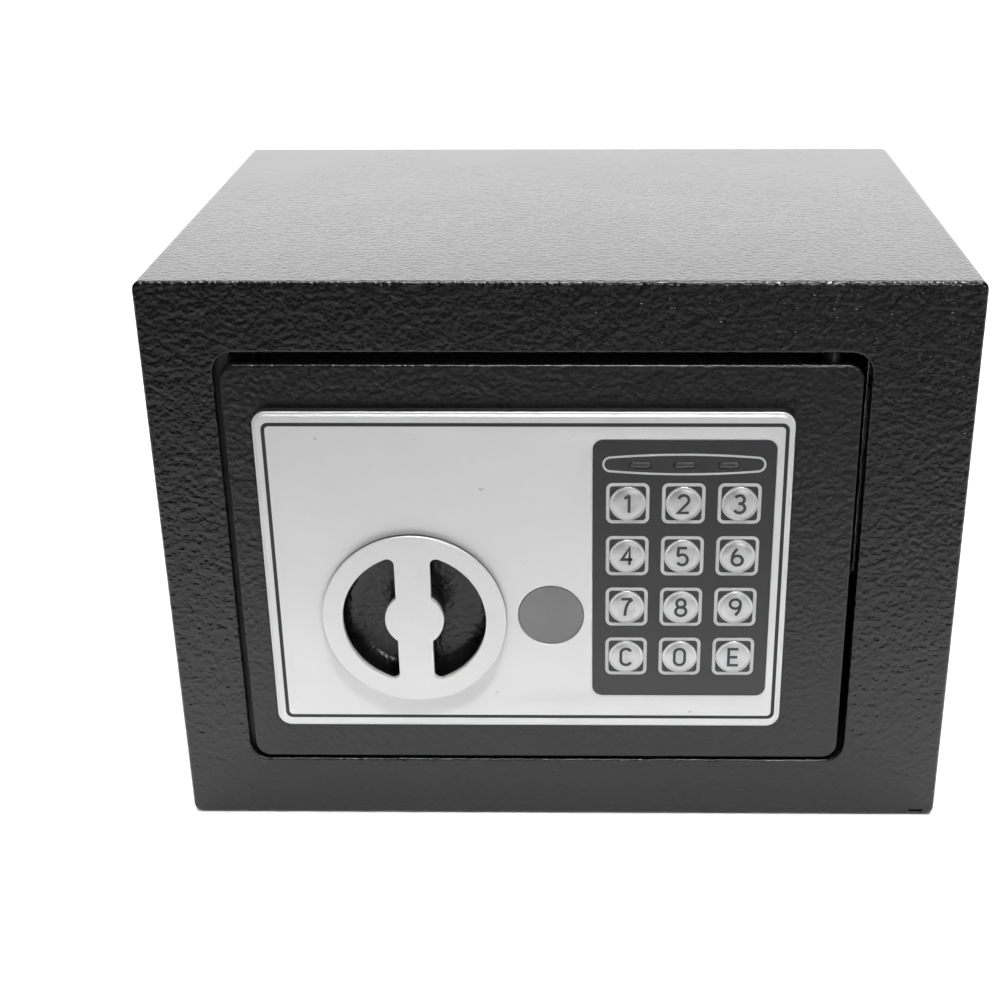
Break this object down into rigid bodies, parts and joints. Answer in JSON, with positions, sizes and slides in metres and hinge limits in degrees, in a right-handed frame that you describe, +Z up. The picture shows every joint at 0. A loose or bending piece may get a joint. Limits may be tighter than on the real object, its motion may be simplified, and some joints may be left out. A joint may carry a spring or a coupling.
{
  "type": "electronic safe",
  "caption": "Small floor or shelf safe with a right-hinged door, keypad, turning knob, bolt work, override lock and battery box.",
  "frame": {"origin": "centre of the bounding box on the underside of the case", "axes": "+X to the right seen from the front, +Y to the back, +Z up; the door faces -Y"},
  "size_m": [0.228, 0.1782, 0.168],
  "materials": {
    "case_paint": "black wrinkle powder coat",
    "door_paint": "black powder coat, finer grain",
    "zinc_steel": "zinc plated sheet",
    "bright_steel": "turned bright steel",
    "felt": "charcoal needle felt",
    "silver_plastic": "silver painted plastic",
    "knob_plastic": "silver painted plastic",
    "overlay_film": "dark grey printed film",
    "indicator_lens": "smoked lens",
    "circuit_board": "green solder mask",
    "coil_tape": "brown coil tape",
    "brass_body": "plain brass",
    "cable_grey": "grey flat cable",
    "black_plastic": "black moulded plastic",
    "cell_wrap": "plain battery jacket",
    "cover_plastic": "mid grey plastic",
    "key_plastic": "silver printed caps",
    "red_plastic": "red plastic"
  },
  "bodies": {
    "case": {"body_wrap": "case_paint", "front_frame": "case_paint", "back_panel": "case_paint", "strike_plate": "case_paint", "hinge_brackets": "case_paint", "hinge_rod": "bright_steel", "rod_clips": "zinc_steel", "floor_mat": "felt"},
    "door": {"door_panel": "door_paint", "hinge_knuckles": "door_paint", "fascia": "silver_plastic", "fascia_screws": "zinc_steel", "keypad_overlay": "overlay_film", "indicator_lights": "indicator_lens", "keypad_board": "circuit_board", "dome_contacts": "bright_steel", "bolt_guide": "door_paint", "guide_posts": "bright_steel", "post_clips": "zinc_steel", "solenoid_frame": "zinc_steel", "solenoid_coil": "coil_tape", "lock_barrel": "brass_body", "lock_nut": "zinc_steel", "standoffs": "bright_steel", "mechanism_cover": "case_paint", "cover_screws": "zinc_steel", "control_board": "circuit_board", "ribbon_cable": "cable_grey", "battery_box": "black_plastic", "batteries": "cell_wrap", "battery_contacts": "bright_steel"},
    "knob_set": {"knob": "knob_plastic", "knob_spindle": "bright_steel", "drive_cam": "zinc_steel", "cam_screw": "zinc_steel"},
    "bolt_work": {"bolt_carrier": "zinc_steel", "locking_bolts": "bright_steel", "bolt_rivets": "zinc_steel"},
    "plunger_set": {"solenoid_plunger": "bright_steel", "lift_arm": "zinc_steel", "plunger_spring": "bright_steel"},
    "lock_plug_set": {"lock_plug": "brass_body", "lock_cam": "zinc_steel"},
    "key_cover": {"key_cover": "cover_plastic"},
    "battery_cover": {"battery_cover": "black_plastic"},
    "reset_button": {"reset_button": "red_plastic"},
    "key_1": {"key_1": "key_plastic"},
    "key_2": {"key_2": "key_plastic"},
    "key_3": {"key_3": "key_plastic"},
    "key_4": {"key_4": "key_plastic"},
    "key_5": {"key_5": "key_plastic"},
    "key_6": {"key_6": "key_plastic"},
    "key_7": {"key_7": "key_plastic"},
    "key_8": {"key_8": "key_plastic"},
    "key_9": {"key_9": "key_plastic"},
    "key_c": {"key_c": "key_plastic"},
    "key_0": {"key_0": "key_plastic"},
    "key_e": {"key_e": "key_plastic"}
  },
  "joints": [
    {"name": "door_swing", "type": "hinge", "parent": "case", "child": "door", "pos_m": [0.0745, -0.0769, 0.08], "axis": [0, 0, 1], "range_deg": [0, 100]},
    {"name": "knob_turn", "type": "hinge", "parent": "door", "child": "knob_set", "pos_m": [-0.0421, -0.0829, 0.0701], "axis": [0, -1, 0], "range_deg": [0, 80]},
    {"name": "bolt_slide", "type": "slide", "parent": "door", "child": "bolt_work", "axis": [-1, 0, 0], "range_m": [0, 0.014]},
    {"name": "lock_turn", "type": "hinge", "parent": "door", "child": "lock_plug_set", "pos_m": [-0.0029, -0.0829, 0.0707], "axis": [0, 1, 0], "range_deg": [0, 90]},
    {"name": "plunger_lift", "type": "slide", "parent": "door", "child": "plunger_set", "axis": [0, 0, 1], "range_m": [0, 0.004], "stiffness_N_per_m": 100, "springref_m": -0.002, "deforming": ["plunger_spring"]},
    {"name": "key_cover_pull", "type": "slide", "parent": "door", "child": "key_cover", "axis": [0, -1, 0], "range_m": [0, 0.015]},
    {"name": "battery_cover_pull", "type": "slide", "parent": "door", "child": "battery_cover", "axis": [0, 1, 0], "range_m": [0, 0.03]},
    {"name": "reset_press", "type": "slide", "parent": "door", "child": "reset_button", "axis": [0, -1, 0], "range_m": [0, 0.001], "stiffness_N_per_m": 400},
    {"name": "key_1_press", "type": "slide", "parent": "door", "child": "key_1", "axis": [0, 1, 0], "range_m": [0, 0.0005], "stiffness_N_per_m": 800},
    {"name": "key_2_press", "type": "slide", "parent": "door", "child": "key_2", "axis": [0, 1, 0], "range_m": [0, 0.0005], "stiffness_N_per_m": 800},
    {"name": "key_3_press", "type": "slide", "parent": "door", "child": "key_3", "axis": [0, 1, 0], "range_m": [0, 0.0005], "stiffness_N_per_m": 800},
    {"name": "key_4_press", "type": "slide", "parent": "door", "child": "key_4", "axis": [0, 1, 0], "range_m": [0, 0.0005], "stiffness_N_per_m": 800},
    {"name": "key_5_press", "type": "slide", "parent": "door", "child": "key_5", "axis": [0, 1, 0], "range_m": [0, 0.0005], "stiffness_N_per_m": 800},
    {"name": "key_6_press", "type": "slide", "parent": "door", "child": "key_6", "axis": [0, 1, 0], "range_m": [0, 0.0005], "stiffness_N_per_m": 800},
    {"name": "key_7_press", "type": "slide", "parent": "door", "child": "key_7", "axis": [0, 1, 0], "range_m": [0, 0.0005], "stiffness_N_per_m": 800},
    {"name": "key_8_press", "type": "slide", "parent": "door", "child": "key_8", "axis": [0, 1, 0], "range_m": [0, 0.0005], "stiffness_N_per_m": 800},
    {"name": "key_9_press", "type": "slide", "parent": "door", "child": "key_9", "axis": [0, 1, 0], "range_m": [0, 0.0005], "stiffness_N_per_m": 800},
    {"name": "key_c_press", "type": "slide", "parent": "door", "child": "key_c", "axis": [0, 1, 0], "range_m": [0, 0.0005], "stiffness_N_per_m": 800},
    {"name": "key_0_press", "type": "slide", "parent": "door", "child": "key_0", "axis": [0, 1, 0], "range_m": [0, 0.0005], "stiffness_N_per_m": 800},
    {"name": "key_e_press", "type": "slide", "parent": "door", "child": "key_e", "axis": [0, 1, 0], "range_m": [0, 0.0005], "stiffness_N_per_m": 800}
  ],
  "couplings": [
    {"joint": "knob_turn", "follows": "bolt_slide", "rad_per_m": 99.733},
    {"joint": "lock_turn", "follows": "plunger_lift", "rad_per_m": 392.7}
  ]
}
